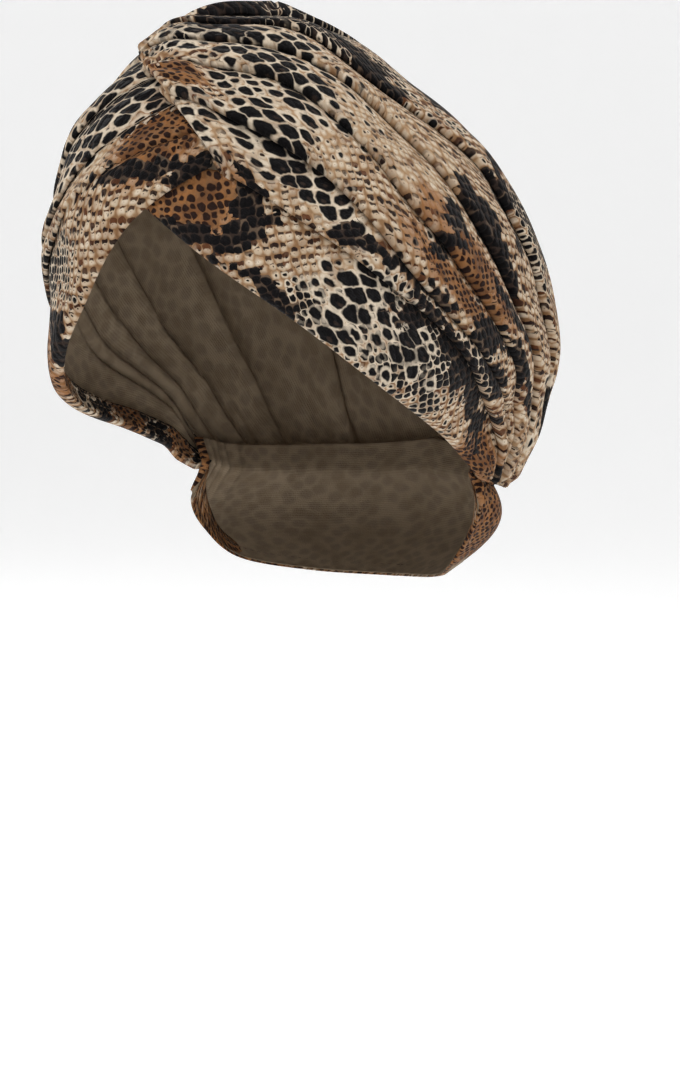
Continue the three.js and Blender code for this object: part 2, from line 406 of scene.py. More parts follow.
# One wrap: points, the cloth's own coordinates in millimetres, and place across and along
def wrapCloth(folds, lift, referenceAlong, seed, rolled):
    look = clothLook
    along, drop = alongStops(rolled)
    lines = [foldLine(stops, along) for _, _, stops in folds]
    runs = clothRuns(lines, along)
    slack = 1 - look["gatherSlack"] * ramp(along, look["slackFrom"], 1)
    parts = []
    base = 0.0
    tuckedFrom = 0.0
    middle = 0.0
    runBelow = None
    for k, (_, depths, _) in enumerate(folds[:-1]):
        low, high = lines[k], lines[k + 1]
        run, slant, flatWidth = runs[k]
        apart = np.arccos(np.clip((low * high).sum(-1), -1, 1))
        width = np.maximum(apart * look["meanRadius"], 1)
        deep = capForm["pleatDepth"] * look["pleatGain"] * np.interp(along, [0, 0.5, 1], depths)
        deep = deep * np.minimum(1, width / look["fullDepthWidth"]) * slack
        if k >= look["calmFromPleat"]:
            deep = deep * mix(look["crossingCalm"], 1, ramp(along, 0, look["calmUntil"]))
        up, height, place, behind = pleatRows(k, deep, width, flatWidth, base, tuckedFrom)
        across = k + np.clip(up, 0, 1)
        heading = unit(low + (high - low) * up[..., None])
        slantAt = valueAt(look["measurePlace"], along, slant)
        middle += slantAt / 2
        runHere = run + middle
        clothU = runHere + (up - 0.5) * slant
        if k > 0:
            clothU = mix(clothU, runBelow, behind)
        runBelow = runHere + slant / 2
        middle += slantAt / 2
        rise = capForm["clothWall"] + lift(across, along) + height
        parts.append((heading, rise, k + up, across, clothU, place))
        tuckedFrom = base + flatWidth
        base += valueAt(referenceAlong, along, flatWidth) + look["tuckedCloth"]
    heading, rise, course, across, clothU, clothV = (np.concatenate(part) for part in zip(*parts))
    along = np.broadcast_to(along, rise.shape)
    rise = rise + wrinkles(overHead(heading, rise), course, along, clothU, clothV, seed)
    rise = rise - drop * mix(look["edgeTurn"], look["rollDepth"], ramp(across, 0.9, 1.4))
    rise = rise - look["gatherTuck"] * ramp(along, look["tuckFrom"], 1)
    return overHead(heading, rise), clothU, clothV, across, along


napeLook = {
    "columns": 161,
    "rows": 40,
    "tuck": 0.3,
    "topHeight": -0.6,
    "gatherHeight": 0.8,
    "gatherTurns": 24,
    "gatherWander": 1.5,
    "gatherFades": (0.1, 0.8),
    "hemRoom": 16.0,
    "doubledFrom": 0.42,
    "pleatsAcross": 1.7,
}

# Turned hem of the band: millimetres on past the edge, and inwards
napeHem = [(0.8, 0.25), (1.05, 0.9), (0.7, 1.5), (-0.8, 1.7), (-3.0, 1.75), (-5.5, 1.75), (-8.0, 1.75)]


# Band under the gathers, from its tucked top edge to its turned hem
def napeCloth():
    look = napeLook
    columns = np.linspace(-1, 1, look["columns"])
    sections = splineAt(napeSections, 1 - np.abs(columns))
    side = np.where(columns < 0, -1.0, 1.0)
    rows = []
    for down in np.linspace(0, 1, look["rows"]):
        polar = sections[:, 1] + capForm["tuckAngle"] * min(1, down / look["tuck"])
        top = overHead(direction(sections[:, 0], polar), np.full(len(side), look["topHeight"]))
        outward = unit(np.stack([top[:, 0], top[:, 1] - capForm["napeCentreY"], 0 * side], -1))
        below = max(0, (down - look["tuck"]) / (1 - look["tuck"]))
        hem = np.stack([sections[:, 2], sections[:, 3], sections[:, 4] + capForm["headSeatDrop"]], -1)
        swing = sections[:, 5] * math.sin(math.pi * below) + capForm["clothWall"]
        fan = gathers(columns * look["gatherTurns"] + look["gatherWander"] * np.sin(columns * 9))
        swing = swing + look["gatherHeight"] * fan * (1 - ramp(below, *look["gatherFades"]))
        rows.append(mix(top, hem, below) + outward * swing[:, None])
    onward = unit(rows[-1] - rows[-2])
    edge = rows[-1]
    # the hem is narrower where the band runs out
    room = np.clip(np.linalg.norm(edge - rows[0], axis=-1) / look["hemRoom"] - 0.3, 0.05, 1)
    for past, inwards in napeHem:
        rows.append(edge + onward * (past * room)[:, None] - outward * inwards)
    grid = np.array(rows)
    grid[..., 0] *= side
    grid[:, look["columns"] // 2, 0] = 0
    steps = np.linalg.norm(np.diff(grid, axis=0), axis=2)
    clothV = np.concatenate([np.zeros((1, look["columns"])), np.cumsum(steps, axis=0)])
    run = np.cumsum(np.linalg.norm(np.diff(grid[look["rows"] // 2], axis=0), axis=1))
    clothU = np.broadcast_to(np.concatenate([[0], run]), clothV.shape)
    across = np.broadcast_to(np.linspace(0, look["pleatsAcross"], len(rows))[:, None], clothV.shape)
    along = np.broadcast_to(columns * 0.5 + 0.5, clothV.shape)
    return grid, clothU, clothV, across, along


# Snake print: patches charted over the cloth. Each row: kind, place along the wrap (0 at
# the crossing, 1 at the gather), place across in pleats from the hem, half length and half
# width in millimetres, and tilt in degrees
leftPrint = [
    ("brown", 0.065, 0.35, 20, 13, -25),
    ("brown", 0.05, 2.45, 11, 7, 0),
    ("brown", 0.61, 3.20, 24, 7, 0),
    ("brown", 0.56, 2.40, 18, 6, 0),
    ("brown", 0.505, 1.15, 9, 4, 0),
    ("brown", 0.86, 0.30, 28, 12, 0),
    ("brown", 0.42, 5.60, 12, 6, 0),
    ("dark", 0.09, 0.86, 17, 4, -28),
    ("dark", 0.155, 0.50, 12, 5, -65),
    ("dark", 0.13, 0.08, 10, 4, 10),
    ("dark", 0.26, 0.10, 14, 3, -10),
    ("dark", 0.33, 1.28, 24, 3.5, 12),
    ("dark", 0.48, 1.72, 30, 5, 18),
    ("dark", 0.48, 1.10, 26, 4, 24),
    ("dark", 0.53, 0.95, 26, 5, -20),
    ("dark", 0.67, 2.45, 26, 5, 38),
    ("dark", 0.55, 2.85, 12, 3.5, 60),
    ("dark", 0.54, 3.40, 10, 6, -55),
    ("dark", 0.70, 3.45, 20, 5, 10),
    ("dark", 0.62, 3.95, 34, 3.5, -8),
    ("dark", 0.30, 5.05, 18, 4, -20),
    ("dark", 0.52, 4.90, 22, 4, -25),
    ("dark", 0.14, 4.50, 8, 11, 0),
    ("dark", 0.62, 0.82, 50, 4.5, -12),
    ("dark", 0.75, 0.62, 12, 9, 0),
    ("dark", 0.69, 1.50, 15, 12, 40),
    ("dark", 0.97, 1.60, 8, 22, 0),
    ("dark", 0.12, 4.95, 14, 5, 0),
    ("dark", 0.15, 5.95, 16, 7, 0),
    ("dark", 0.87, 4.95, 13, 5, 10),
    ("dark", 0.80, 3.10, 20, 3.5, 12),
    ("bead", 0.19, 0.72, 21, 8, -22),
    ("bead", 0.63, 0.32, 24, 10, 0),
    ("bead", 0.07, 2.50, 22, 16, 0),
    ("bead", 0.45, 2.25, 24, 15, 0),
    ("bead", 0.40, 5.00, 40, 18, 0),
    ("bead", 0.07, 3.50, 24, 15, 0),
    ("bead", 0.60, 0.60, 22, 9, 0),
    ("bead", 0.74, 2.50, 34, 18, 0),
    ("bead", 0.70, 3.70, 24, 16, 0),
    ("bead", 0.72, 4.60, 50, 26, 0),
    ("bead", 0.84, 1.40, 30, 18, 0),
    ("pale", 0.19, 0.74, 20, 9, -22),
    ("pale", 0.40, 2.45, 20, 10, 0),
    ("pale", 0.44, 3.60, 24, 12, 0),
    ("pale", 0.33, 4.60, 16, 6, 0),
    ("spot", 0.47, 0.55, 34, 16, -8),
    ("spot", 0.60, 1.10, 30, 14, 20),
    ("spot", 0.30, 0.20, 20, 8, 0),
    ("spot", 0.56, 5.30, 20, 12, 0),
    ("spot", 0.24, 5.90, 40, 12, 0),
    ("spot", 0.20, 5.10, 40, 12, 0),
    ("spot", 0.10, 3.90, 20, 12, 0),
    ("ink", 0.20, 4.15, 34, 11, 0),
    ("ink", 0.37, 3.50, 20, 14, 0),
    ("ink", 0.21, 3.40, 20, 14, 0),
    ("ink", 0.29, 2.90, 46, 26, 0),
    ("ink", 0.20, 1.65, 44, 13, 0),
    ("ink", 0.33, 0.60, 26, 12, -8),
    ("ink", 0.46, 0.60, 12, 7, -8),
    ("ink", 0.87, 4.50, 13, 10, 0),
]
rightPrint = [
    ("dark", 0.10, 0.52, 34, 5.5, 30),
    ("dark", 0.04, 0.12, 16, 5, 0),
    ("brown", 0.09, 1.30, 20, 17, 75),
    ("bead", 0.22, 0.50, 34, 18, 15),
    ("bead", 0.36, 0.50, 40, 18, 0),
    ("ink", 0.15, 2.60, 46, 24, 0),
    ("ink", 0.16, 3.50, 40, 20, 0),
    ("pale", 0.21, 1.60, 12, 8, 0),
]

napePrint = [
    ("brown", 0.76, 1.15, 30, 20, 0),
    ("brown", 0.24, 1.15, 30, 20, 0),
    ("brown", 0.50, 1.00, 22, 12, 0),
    ("brown", 0.97, 0.70, 14, 40, 0),
    ("brown", 0.03, 0.70, 14, 40, 0),
    ("dark", 0.82, 0.42, 18, 5, 10),
    ("dark", 0.18, 0.42, 18, 5, -10),
    ("dark", 0.62, 0.90, 14, 4, 55),
    ("dark", 0.38, 0.90, 14, 4, -55),
    ("bead", 0.50, 0.80, 130, 40, 0),
]

printKinds = ("brown", "dark", "bead", "pale", "spot", "ink")
printScale = {
    "wrapLength": 280.0,
    "pleatWidth": 26.0,
    "corner": 2.4,
    "ragged": 0.17,
    "raggedLength": 20,
    "raggedSeed": 5,
    "steepest": 0.12,
    "repeatAlong": 0.22,
    "repeatAcross": 1.5,
}

# One repeat of the print, for what the first rows leave: kind, millimetres along, pleats
# across, half length, half width and tilt
printRepeat = [
    ("brown", 0, 0, 17, 9, -20),
    ("dark", 15, 0.36, 19, 4.5, -48),
    ("dark", -13, -0.42, 17, 4, -24),
    ("dark", -17, 0.25, 9, 3.5, 60),
    ("bead", 0, 0, 30, 18, 0),
    ("spot", -30, 0.35, 14, 10, 0),
    ("ink", 31, 0.1, 15, 11, 10),
]


def repeatRows(firstAlong, lastAlong, firstAcross, lastAcross):
    scale = printScale
    rows = []
    for column, across in enumerate(np.arange(firstAcross, lastAcross, scale["repeatAcross"])):
        start = firstAlong + scale["repeatAlong"] / 2 * (column % 2)
        for along in np.arange(start, lastAlong, scale["repeatAlong"]):
            for kind, shift, lift, halfLong, halfWide, tilt in printRepeat:
                place = float(along) + shift / scale["wrapLength"]
                rows.append((kind, place, float(across) + lift, halfLong, halfWide, tilt))
    return rows


# Strength of each kind of patch at every point, 1 at its middle and 0.5 at its edge, with
# the slope along and across the cloth, so that a whole scale takes that of its own middle
def printFields(chart, across, along, clothU, clothV):
    scale = printScale
    strength = {kind: np.zeros(across.shape) for kind in printKinds}
    flat = np.stack([clothU, clothV, 0 * clothU], -1)
    ragged = 1 + scale["ragged"] * swell(flat, scale["raggedLength"], scale["raggedSeed"])
    for kind, atAlong, atAcross, halfLong, halfWide, tilt in chart:
        turn = math.radians(tilt)
        dx = (along - atAlong) * scale["wrapLength"]
        dy = (across - atAcross) * scale["pleatWidth"]
        p = (dx * math.cos(turn) + dy * math.sin(turn)) / halfLong
        q = (dy * math.cos(turn) - dx * math.sin(turn)) / halfWide
        away = (np.abs(p) ** scale["corner"] + np.abs(q) ** scale["corner"]) ** (1 / scale["corner"])
        strength[kind] = np.maximum(strength[kind], 1 - 0.5 * away * ragged)
    uRow, uColumn = np.gradient(clothU)
    vRow, vColumn = np.gradient(clothV)
    spread = uColumn * vRow - vColumn * uRow
    spread = np.where(np.abs(spread) < 1e-3, 1e-3, spread)
    steepest = scale["steepest"]
    fields = {}
    for kind, value in strength.items():
        value = np.clip(value, 0, 1)
        byRow, byColumn = np.gradient(value)
        slopeU = np.clip((byColumn * vRow - vColumn * byRow) / spread, -steepest, steepest)
        slopeV = np.clip((uColumn * byRow - uRow * byColumn) / spread, -steepest, steepest)
        fields[kind + "Field"] = np.stack([value, slopeU, slopeV], -1)
    return fields


def addObject(name, data):
    thing = bpy.data.objects.new(name, data)
    bpy.context.scene.collection.objects.link(thing)
    return thing


def sheetMesh(name, grid, clothU, clothV, fields, flip, doubled):
    rows, columns = grid.shape[:2]
    mesh = bpy.data.meshes.new(name)
    index = np.arange(rows * columns).reshape(rows, columns)
    quads = np.stack([index[:-1, :-1], index[:-1, 1:], index[1:, 1:], index[1:, :-1]], -1).reshape(-1, 4)
    if flip:
        quads = quads[:, ::-1]
    mesh.from_pydata((grid.reshape(-1, 3) * millimetre).tolist(), [], quads.tolist())
    uvLayer = mesh.uv_layers.new(name="cloth")
    corner = np.empty(len(mesh.loops), int)
    mesh.loops.foreach_get("vertex_index", corner)
    flat = np.stack([clothU.ravel(), clothV.ravel()], -1)[corner] * millimetre
    uvLayer.data.foreach_set("uv", flat.ravel())
    for field, values in fields.items():
        layer = mesh.attributes.new(field, "FLOAT_VECTOR", "POINT")
        layer.data.foreach_set("vector", values.reshape(-1, 3).ravel())
    mesh.shade_smooth()
    # what is rolled under or doubled back shows the print on both faces
    printed = np.broadcast_to(np.where(doubled, 2, 0), (rows - 1, columns - 1))
    mesh.polygons.foreach_set("material_index", printed.ravel())
    mesh.update()
    return addObject(name, mesh)


def addNode(tree, kind, inputs=None, **settings):
    node = tree.nodes.new(kind)
    for key, value in settings.items():
        setattr(node, key, value)
    for key, value in (inputs or {}).items():
        if isinstance(value, bpy.types.NodeSocket):
            tree.links.new(value, node.inputs[key])
        else:
            node.inputs[key].default_value = value
    return node


def maths(tree, operation, first, second=None, third=None):
    inputs = {0: first}
    if second is not None:
        inputs[1] = second
    if third is not None:
        inputs[2] = third
    return addNode(tree, "ShaderNodeMath", inputs, operation=operation).outputs[0]


def vectorMaths(tree, operation, first, second):
    node = addNode(tree, "ShaderNodeVectorMath", {0: first, 1: second}, operation=operation)
    return node.outputs["Value" if operation == "DOT_PRODUCT" else "Vector"]


# Smooth rise from start to end between low and high, either of which may be the larger
def smoothRange(tree, value, low, high, start=0.0, end=1.0):
    inputs = {"Value": value, "From Min": low, "From Max": high, "To Min": start, "To Max": end}
    return addNode(tree, "ShaderNodeMapRange", inputs, interpolation_type="SMOOTHSTEP").outputs["Result"]


def blend(tree, share, first, second):
    node = addNode(tree, "ShaderNodeMix", data_type="RGBA")
    for socket, value in (("Factor_Float", share), ("A_Color", first), ("B_Color", second)):
        target = next(s for s in node.inputs if s.identifier == socket)
        if isinstance(value, bpy.types.NodeSocket):
            tree.links.new(value, target)
        else:
            target.default_value = value
    return next(s for s in node.outputs if s.identifier == "Result_Color")


# sRGB in 0..255 to the linear colour that sockets hold
def dye(red, green, blue):
    def linear(part):
        part = part / 255
        return part / 12.92 if part <= 0.04045 else ((part + 0.055) / 1.055) ** 2.4
    return (linear(red), linear(green), linear(blue), 1)


# Staggered scales over the cloth, each with its own chance: how far the middle and the
# neighbours are, and the way to the middle in millimetres
def scaleLattice(tree, clothPoint, look):
    split = addNode(tree, "ShaderNodeSeparateXYZ", {0: clothPoint})
    u = maths(tree, "DIVIDE", split.outputs["X"], look["pitchU"])
    v = maths(tree, "DIVIDE", split.outputs["Y"], look["pitchV"])
    place = addNode(tree, "ShaderNodeCombineXYZ", {
        "X": maths(tree, "ADD", u, v),
        "Y": maths(tree, "SUBTRACT", u, v),
    }).outputs[0]
    scales = {"Vector": place, "Scale": 1.0, "Randomness": look["ragged"]}
    near = addNode(tree, "ShaderNodeTexVoronoi", scales, voronoi_dimensions="2D", feature="F1")
    rim = addNode(tree, "ShaderNodeTexVoronoi", scales, voronoi_dimensions="2D", feature="DISTANCE_TO_EDGE")
    offset = addNode(tree, "ShaderNodeSeparateXYZ", {
        0: vectorMaths(tree, "SUBTRACT", near.outputs["Position"], place),
    })
    total = maths(tree, "ADD", offset.outputs["X"], offset.outputs["Y"])
    change = maths(tree, "SUBTRACT", offset.outputs["X"], offset.outputs["Y"])
    du = maths(tree, "MULTIPLY", total, look["pitchU"] / 2)
    dv = maths(tree, "MULTIPLY", change, look["pitchV"] / 2)
    chance = addNode(tree, "ShaderNodeSeparateColor", {0: near.outputs["Color"]})
    return {
        "distance": near.outputs["Distance"],
        "edge": rim.outputs["Distance"],
        "du": du,
        "dv": dv,
        "toCentre": addNode(tree, "ShaderNodeCombineXYZ", {"X": 1.0, "Y": du, "Z": dv}).outputs[0],
        "chance": chance.outputs["Red"],
        "chanceTwo": chance.outputs["Green"],
    }


# Ovals in a scale, in millimetres: how far their middle lies from the scale's own, along
# and across, and their half sizes
ovalLook = {
    "crescent": (-0.7, 0.57, 1.1, 0.92),
    "face": (0.4, -0.35, 1.18, 1.0),
    "dot": (0.0, 0.26, 0.7, 0.57),
    "shine": (0.75, -0.5, 1.4, 0.75),
    "heart": (-0.1, -0.1, 1.0, 0.68),
    "blackBead": (0.18, -0.22, 1.53, 1.3),
}


# Distance from the middle of such an oval, with one as its edge
def ovalAway(tree, scale, oval):
    besideU, besideV, halfU, halfV = ovalLook[oval]
    u = maths(tree, "MULTIPLY_ADD", scale["du"], 1 / halfU, besideU / halfU)
    v = maths(tree, "MULTIPLY_ADD", scale["dv"], 1 / halfV, besideV / halfV)
    squares = maths(tree, "ADD", maths(tree, "MULTIPLY", u, u), maths(tree, "MULTIPLY", v, v))
    return maths(tree, "SQRT", squares)


# Strength of a kind of patch at the middle of the scale
def fieldAt(tree, scale, kind, jitter=0.12):
    stored = addNode(tree, "ShaderNodeAttribute", attribute_name=kind + "Field").outputs["Vector"]
    value = vectorMaths(tree, "DOT_PRODUCT", stored, scale["toCentre"])
    wobble = maths(tree, "MULTIPLY_ADD", scale["chance"], jitter, -jitter / 2)
    return maths(tree, "ADD", value, wobble)


def noise(tree, vector, scale, detail):
    return addNode(tree, "ShaderNodeTexNoise", {"Vector": vector, "Scale": scale, "Detail": detail},
                   noise_dimensions="2D")


printLook = {
    "lace": {"pitchU": 9.0, "pitchV": 6.4, "ragged": 0.5},
    "bead": {"pitchU": 4.2, "pitchV": 3.6, "ragged": 0.42},
    "fine": {"pitchU": 3.6, "pitchV": 2.9, "ragged": 0.38},
    "driftSize": 0.025,
    "driftReach": (11.0, 9.0, 0.0),
    "shakeSize": 0.4,
    "shakeReach": (1.3, 1.1, 0.0),
    "dottedFrom": 0.78,
    "shinyFrom": 0.6,
    "cream": dye(203, 188, 167),
    "paleTan": dye(166, 137, 105),
    "tan": dye(122, 89, 60),
    "ochre": dye(138, 92, 53),
    "brown": dye(84, 50, 29),
    "darkBrown": dye(34, 19, 13),
    "black": dye(8, 6, 7),
    "net": dye(60, 47, 39),
    "fleck": dye(114, 94, 76),
}


# The knit's own place in millimetres, and the same place shaken so that no scale is regular
def clothPlaces(tree):
    look = printLook
    cloth = addNode(tree, "ShaderNodeUVMap", uv_map="cloth").outputs[0]
    place = vectorMaths(tree, "MULTIPLY", cloth, (1000.0, 1000.0, 0.0))
    shaken = place
    for size, reach in (("driftSize", "driftReach"), ("shakeSize", "shakeReach")):
        wander = noise(tree, place, look[size], 1.0).outputs["Color"]
        step = vectorMaths(tree, "SUBTRACT", wander, (0.5, 0.5, 0.5))
        shaken = vectorMaths(tree, "ADD", shaken, vectorMaths(tree, "MULTIPLY", step, look[reach]))
    return place, shaken


# How strongly the crescents show: most in bead patches, least where the net is calm
def crescentDepth(tree, bead, lace, mottle):
    inBead = smoothRange(tree, fieldAt(tree, bead, "bead"), 0.35, 0.55)
    calm = maths(tree, "MAXIMUM", fieldAt(tree, lace, "ink"), fieldAt(tree, lace, "pale", 0.3))
    calm = maths(tree, "SUBTRACT", smoothRange(tree, calm, 0.3, 0.6), inBead)
    spread = smoothRange(tree, mottle, 0.38, 0.6, 0.45, 1.0)
    depth = maths(tree, "MULTIPLY_ADD", calm, -0.3, spread)
    return maths(tree, "MAXIMUM", depth, maths(tree, "MULTIPLY", inBead, 0.95))


# Pale face of a small scale: duller and outlined to the rim, warm near brown, a few dotted
def beadFace(tree, bead, depth, mottle):
    look = printLook
    dull = smoothRange(tree, bead["distance"], 0.12, 0.58)
    dull = maths(tree, "MAXIMUM", dull, maths(tree, "MULTIPLY", bead["chance"], 0.55))
    face = blend(tree, dull, look["cream"], look["paleTan"])
    outline = smoothRange(tree, bead["distance"], 0.4, 0.66)
    outline = maths(tree, "MULTIPLY", outline, maths(tree, "MULTIPLY_ADD", depth, 0.85, 0.05))
    face = blend(tree, outline, face, look["tan"])
    face = blend(tree, smoothRange(tree, mottle, 0.44, 0.7, 0.0, 0.5), face, look["tan"])
    warm = smoothRange(tree, fieldAt(tree, bead, "brown", 0.2), 0.15, 0.5, 0.0, 0.8)
    face = blend(tree, warm, face, look["ochre"])
    dot = smoothRange(tree, ovalAway(tree, bead, "dot"), 1.1, 0.7)
    chosen = maths(tree, "GREATER_THAN", bead["chanceTwo"], look["dottedFrom"])
    return blend(tree, maths(tree, "MULTIPLY", dot, chosen), face, look["darkBrown"])


# Small scales, pale with a dark crescent on the lower side
def beadGround(tree, bead, lace, mottle):
    look = printLook
    grow = smoothRange(tree, bead["chanceTwo"], 0.0, 1.0, -0.3, 0.15)
    spot = maths(tree, "SUBTRACT", ovalAway(tree, bead, "crescent"), grow)
    left = maths(tree, "ADD", ovalAway(tree, bead, "face"), grow)
    spot = smoothRange(tree, spot, 1.25, 0.85)
    crescent = maths(tree, "MULTIPLY", spot, smoothRange(tree, left, 0.72, 1.0))
    depth = crescentDepth(tree, bead, lace, mottle)
    share = maths(tree, "MULTIPLY", crescent, maths(tree, "MAXIMUM", depth, 0.06))
    rim = blend(tree, smoothRange(tree, bead["chance"], 0.1, 0.7), look["brown"], look["darkBrown"])
    return blend(tree, share, beadFace(tree, bead, depth, mottle), rim)


# Black ovals in the cream net, larger where that kind of patch is strong
def laceOvals(tree, lace, ground, kind, mottle):
    look = printLook
    dose = maths(tree, "MULTIPLY_ADD", fieldAt(tree, lace, kind, 0.5), 0.85, 0.2)
    dose = maths(tree, "SUBTRACT", dose, maths(tree, "MULTIPLY", fieldAt(tree, lace, "pale", 0.0), 0.7))
    size = smoothRange(tree, dose, 0.24, 0.95, 0.0, 0.57)
    inner = maths(tree, "SUBTRACT", size, lace["distance"])
    gap = smoothRange(tree, dose, 0.3, 0.95, 0.17, 0.04)
    fromRim = maths(tree, "SUBTRACT", lace["edge"], gap)
    inside = maths(tree, "SMOOTH_MIN", inner, fromRim, 0.3)
    paleRing = smoothRange(tree, inside, -0.32, -0.15)
    inNet = smoothRange(tree, dose, 0.4, 0.6, 0.0, 0.9)
    clean = smoothRange(tree, mottle, 0.4, 0.62, 1.0, 0.45)
    share = maths(tree, "MULTIPLY", maths(tree, "MULTIPLY", paleRing, inNet), clean)
    ground = blend(tree, share, ground, look["cream"])
    light = smoothRange(tree, ovalAway(tree, lace, "shine"), 1.0, 0.4, 0.0, 0.5)
    chosen = maths(tree, "GREATER_THAN", lace["chanceTwo"], look["shinyFrom"])
    fleck = maths(tree, "MULTIPLY", light, chosen)
    ink = blend(tree, fleck, look["black"], look["net"])
    return blend(tree, smoothRange(tree, inside, -0.085, 0.02), ground, ink)


# Fine brown scales in rows, with dark hearts and an ochre rim
def brownScales(tree, fine, mottle):
    look = printLook
    base = blend(tree, fine["chance"], look["ochre"], look["tan"])
    base = blend(tree, smoothRange(tree, mottle, 0.42, 0.62, 0.0, 0.6), base, look["brown"])
    size = smoothRange(tree, fine["chanceTwo"], 0.0, 1.0, 0.7, 1.2)
    away = maths(tree, "SUBTRACT", ovalAway(tree, fine, "heart"), size)
    heart = smoothRange(tree, away, 0.25, -0.15)
    return blend(tree, heart, base, look["darkBrown"])


# Black bands: black beads in a dim net, with a few pale flecks
def darkBand(tree, bead):
    look = printLook
    inNet = smoothRange(tree, ovalAway(tree, bead, "blackBead"), 0.8, 1.2, 0.0, 0.6)
    pale = smoothRange(tree, bead["chanceTwo"], 0.62, 0.85)
    net = blend(tree, pale, look["net"], look["fleck"])
    return blend(tree, inNet, look["black"], net)


# Wales of the knit and the fuzz of the yarn, over scales that stand a little proud
def knitRelief(tree, shader, place, fromMiddle=None):
    wales = addNode(tree, "ShaderNodeTexWave", {
        "Vector": place, "Scale": 0.42, "Distortion": 0.8, "Detail": 1.0, "Detail Scale": 2.0,
    }, bands_direction="Y")
    grain = noise(tree, place, 1.9, 2.0).outputs[0]
    relief = maths(tree, "MULTIPLY_ADD", wales.outputs[0], 0.4, grain)
    knit = {"Height": relief, "Strength": 0.3, "Distance": 0.0005}
    if fromMiddle:
        dome = smoothRange(tree, fromMiddle, 0.75, 0.0)
        scales = addNode(tree, "ShaderNodeBump", {"Height": dome, "Strength": 0.7, "Distance": 0.0011})
        knit["Normal"] = scales.outputs[0]
    tree.links.new(addNode(tree, "ShaderNodeBump", knit).outputs[0], shader.inputs["Normal"])
    return grain


# Material with what is the same all over it
def newMaterial(name, values):
    material = bpy.data.materials.new(name)
    material.use_nodes = True
    shader = material.node_tree.nodes["Principled BSDF"]
    for socket, value in values.items():
        shader.inputs[socket].default_value = value
    return material, material.node_tree, shader


yarnLook = {"Sheen Weight": 0.02, "Sheen Roughness": 0.5, "Specular IOR Level": 0.12}


# Colour of the yarn, and its roughness, which follows the grain
def finishYarn(tree, shader, colour, grain, smoothest, roughest):
    tree.links.new(colour, shader.inputs["Base Color"])
    tree.links.new(smoothRange(tree, grain, 0.3, 0.7, smoothest, roughest), shader.inputs["Roughness"])


def snakeJersey():
    material, tree, shader = newMaterial("snakeJersey", yarnLook)
    place, shaken = clothPlaces(tree)
    mottle = noise(tree, shaken, 0.15, 3.0).outputs[0]
    lace, bead, fine = (scaleLattice(tree, shaken, printLook[kind]) for kind in ("lace", "bead", "fine"))
    colour = beadGround(tree, bead, lace, mottle)
    colour = laceOvals(tree, bead, colour, "spot", mottle)
    colour = laceOvals(tree, lace, colour, "ink", mottle)
    inBrown = maths(tree, "GREATER_THAN", fieldAt(tree, fine, "brown", 0.2), 0.5)
    colour = blend(tree, inBrown, colour, brownScales(tree, fine, mottle))
    inBand = maths(tree, "GREATER_THAN", fieldAt(tree, bead, "dark", 0.3), 0.5)
    colour = blend(tree, inBand, colour, darkBand(tree, bead))
    grain = knitRelief(tree, shader, place, bead["distance"])
    finishYarn(tree, shader, colour, grain, 0.76, 0.92)
    return material


# Wrong side of the jersey: the print only ghosts through, in a tone darkened past the real pale reverse as
# painted shade inside the cap and in tucked slivers
def reverseJerseyPaintedShade():
    material, tree, shader = newMaterial("reverseJerseyPaintedShade", yarnLook)
    place, shaken = clothPlaces(tree)
    lace = scaleLattice(tree, shaken, printLook["lace"])
    mottle = noise(tree, place, 0.12, 3.0).outputs[0]
    ghost = smoothRange(tree, lace["distance"], 0.55, 0.2, 0.0, 0.4)
    # painted shade: these browns are darker than the real reverse of the print
    colour = blend(tree, ghost, dye(134, 118, 98), dye(92, 79, 66))
    colour = blend(tree, smoothRange(tree, mottle, 0.4, 0.7, 0.0, 0.5), colour, dye(112, 96, 76))
    grain = knitRelief(tree, shader, place)
    finishYarn(tree, shader, colour, grain, 0.86, 0.96)
    return material


def threadFinish():
    material, tree, shader = newMaterial("thread", yarnLook)
    place = addNode(tree, "ShaderNodeTexCoord").outputs["Object"]
    twist = addNode(tree, "ShaderNodeTexNoise", {"Vector": place, "Scale": 2500.0, "Detail": 2.0}).outputs[0]
    finishYarn(tree, shader, blend(tree, twist, dye(96, 78, 60), dye(62, 48, 36)), twist, 0.45, 0.7)
    return material


jersey = snakeJersey()
# wrong side of the jersey, darkened as painted shade
reversePaintedShade = reverseJerseyPaintedShade()
thread = threadFinish()
print("jersey and thread materials made")


# Cloth of one piece: its wall, and what it stands for. The wall's
# faces take the slot after their own: reverse behind slot 0, the print again behind slot 2
def finishCloth(piece, node):
    # slot 1, the wrong side, is darkened as painted shade
    for material in (jersey, reversePaintedShade, jersey, jersey):
        piece.data.materials.append(material)
    solid = piece.modifiers.new("wall", "SOLIDIFY")
    solid.thickness = clothLook["wall"] * millimetre
    solid.offset = -1
    solid.material_offset = 1
    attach(piece, "root")
    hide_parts(node)
    print(piece.name, "made with", len(piece.data.polygons), "faces")


wrapLooks = {
    "left_wrap": {
        "folds": leftFolds, "lift": leftLift, "referenceAlong": 0.35, "seed": 11, "rolled": True,
        "chart": leftPrint + repeatRows(0.40, 1.02, 6.0, 7.1), "flip": False, "cut": (0.29, 0.235),
    },
    "right_wrap": {
        "folds": rightFolds, "lift": rightLift, "referenceAlong": 0.15, "seed": 23, "rolled": False,
        "chart": rightPrint + repeatRows(0.44, 1.02, 0.4, 7.1), "flip": True, "cut": (0.28, 0.22),
    },
}


def makeWrap(node):
    look = wrapLooks[node]
    grid, clothU, clothV, across, along = wrapCloth(
        look["folds"], look["lift"], look["referenceAlong"], look["seed"], look["rolled"])
    fields = printFields(look["chart"], across, along, clothU, clothV)
    doubled = np.arange(grid.shape[1] - 1) < (len(frontRoll) if look["rolled"] else 0)
    piece = sheetMesh(node + "_jersey", grid, clothU, clothV, fields, look["flip"], doubled)
    finishCloth(piece, node)
    return grid


